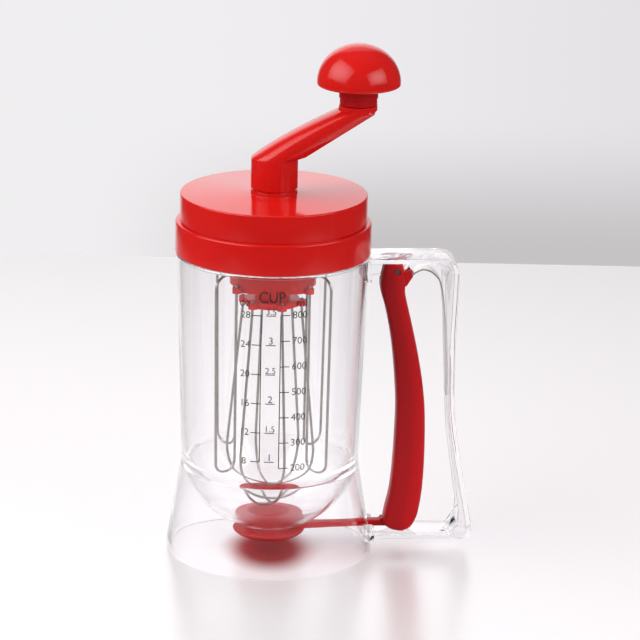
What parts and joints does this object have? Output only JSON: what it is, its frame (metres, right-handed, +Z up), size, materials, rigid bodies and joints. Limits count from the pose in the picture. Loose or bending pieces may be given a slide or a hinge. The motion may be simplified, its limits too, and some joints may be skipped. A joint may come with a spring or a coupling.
{
  "type": "batter dispenser",
  "caption": "Clear batter jug with a funnel bottom, a red crank lid driving two counter-rotating wire whisks, and a handle trigger that opens a valve cap under the outlet.",
  "frame": {"origin": "on the jug's axis, at the bottom of the foot", "axes": "+Z up along the jug's axis, +X towards the handle and the crank's knob at rest, +Y to the left when seen from the jug towards the handle"},
  "size_m": [0.1664, 0.112, 0.2812],
  "materials": {
    "clear_plastic": "clear, polished",
    "red_plastic": "glossy",
    "trigger_plastic": "satin",
    "steel": "polished",
    "spring_steel": "satin",
    "seat_silicone": "translucent, satin",
    "red_silicone": "satin",
    "nylon": "satin"
  },
  "bodies": {
    "jug": {"jug_body": "clear_plastic", "bowl_base": "clear_plastic", "foot_skirt": "clear_plastic", "handle_frame": "clear_plastic", "hinge_lug": "clear_plastic", "outlet_seat": "seat_silicone", "trigger_pin": "steel", "trigger_spring": "spring_steel"},
    "trigger": {"trigger_lever": "trigger_plastic", "valve_arm": "red_plastic", "valve_cap": "red_plastic", "valve_pad": "red_silicone"},
    "lid": {"lid_collar": "red_plastic", "lid_cover": "red_plastic", "lid_seal": "seat_silicone", "shaft_bush": "nylon", "gear_plate": "nylon", "planet_pins": "steel", "lid_screws": "steel"},
    "crank": {"crank_arm": "red_plastic", "drive_shaft": "steel", "retaining_clip": "spring_steel", "sun_gear": "nylon", "inner_hub": "red_plastic", "inner_whisk": "steel", "hub_screw": "steel", "knob_pin": "steel", "thrust_washer": "nylon"},
    "knob": {"knob_dome": "red_plastic", "knob_stem": "red_plastic"},
    "outer_whisk": {"whisk_drum": "red_plastic", "loop_plate": "red_plastic", "outer_whisk": "steel"},
    "planet_1": {"planet_gear_1": "nylon"},
    "planet_2": {"planet_gear_2": "nylon"},
    "planet_3": {"planet_gear_3": "nylon"}
  },
  "joints": [
    {"name": "lid_lift", "type": "slide", "parent": "jug", "child": "lid", "axis": [0, 0, 1], "range_m": [0, 0.16]},
    {"name": "crank_turn", "type": "hinge", "parent": "lid", "child": "crank", "pos_m": [0, 0, 0.2], "axis": [0, 0, 1], "continuous": true},
    {"name": "outer_whisk_spin", "type": "hinge", "parent": "lid", "child": "outer_whisk", "pos_m": [0, 0, 0.154], "axis": [0, 0, 1], "continuous": true},
    {"name": "planet_spin_1", "type": "hinge", "parent": "lid", "child": "planet_1", "pos_m": [0.0132, 0, 0.166], "axis": [0, 0, 1], "continuous": true},
    {"name": "planet_spin_2", "type": "hinge", "parent": "lid", "child": "planet_2", "pos_m": [-0.0066, 0.01143, 0.166], "axis": [0, 0, 1], "continuous": true},
    {"name": "planet_spin_3", "type": "hinge", "parent": "lid", "child": "planet_3", "pos_m": [-0.0066, -0.01143, 0.166], "axis": [0, 0, 1], "continuous": true},
    {"name": "knob_spin", "type": "hinge", "parent": "crank", "child": "knob", "pos_m": [0.0441, 0, 0.2487], "axis": [0, 0, 1], "continuous": true},
    {"name": "trigger_squeeze", "type": "hinge", "parent": "jug", "child": "trigger", "pos_m": [0.0669, 0, 0.1578], "axis": [0, -1, 0], "range_deg": [0, 4.7], "stiffness_Nm_per_rad": 1.2, "springref_deg": -14.32, "deforming": ["trigger_spring"]}
  ],
  "couplings": [
    {"joint": "outer_whisk_spin", "follows": "crank_turn", "ratio": -0.375},
    {"joint": "planet_spin_1", "follows": "crank_turn", "ratio": -1.2},
    {"joint": "planet_spin_2", "follows": "crank_turn", "ratio": -1.2},
    {"joint": "planet_spin_3", "follows": "crank_turn", "ratio": -1.2}
  ]
}
